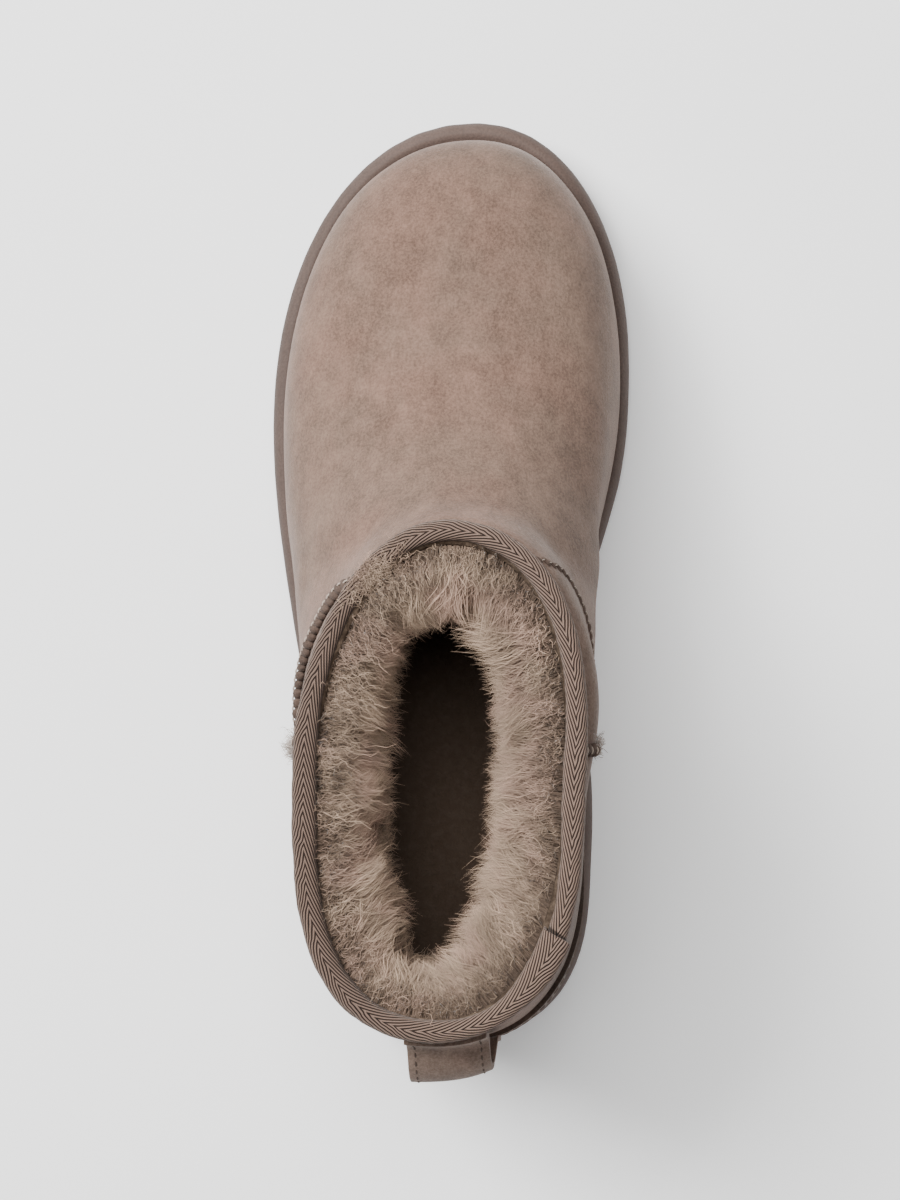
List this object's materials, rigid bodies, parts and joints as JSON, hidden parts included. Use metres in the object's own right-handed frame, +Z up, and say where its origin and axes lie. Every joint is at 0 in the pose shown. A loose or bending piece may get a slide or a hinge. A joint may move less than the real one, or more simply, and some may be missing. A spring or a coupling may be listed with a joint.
{
  "type": "low pull-on sheepskin ankle boot, left foot",
  "caption": "Low pull-on sheepskin boot with a deep fleece lining, a bound collar, a heel loop and a thick foam sole.",
  "frame": {"origin": "on the floor, at the centre of the heel's flat tread, 45 mm in front of the sole's back end", "axes": "+X from heel to toe, +Y to the outer side of the left foot, +Z up"},
  "size_m": [0.2737, 0.1052, 0.1303],
  "materials": {
    "suede": "brushed taupe suede, matt, with darker and lighter nap",
    "foam_sole": "fine-grained matt foam, taupe, a shade darker than the suede",
    "fleece": "deep dyed sheep's fleece, beige-taupe at the tips and browner at the roots",
    "binding_tape": "herringbone twill tape, matt taupe"
  },
  "bodies": {
    "root": {"outsole": "foam_sole", "insole": "fleece", "upper": "suede", "heel_counter": "suede", "collar_binding": "binding_tape", "pull_loop": "suede"}
  },
  "joints": []
}
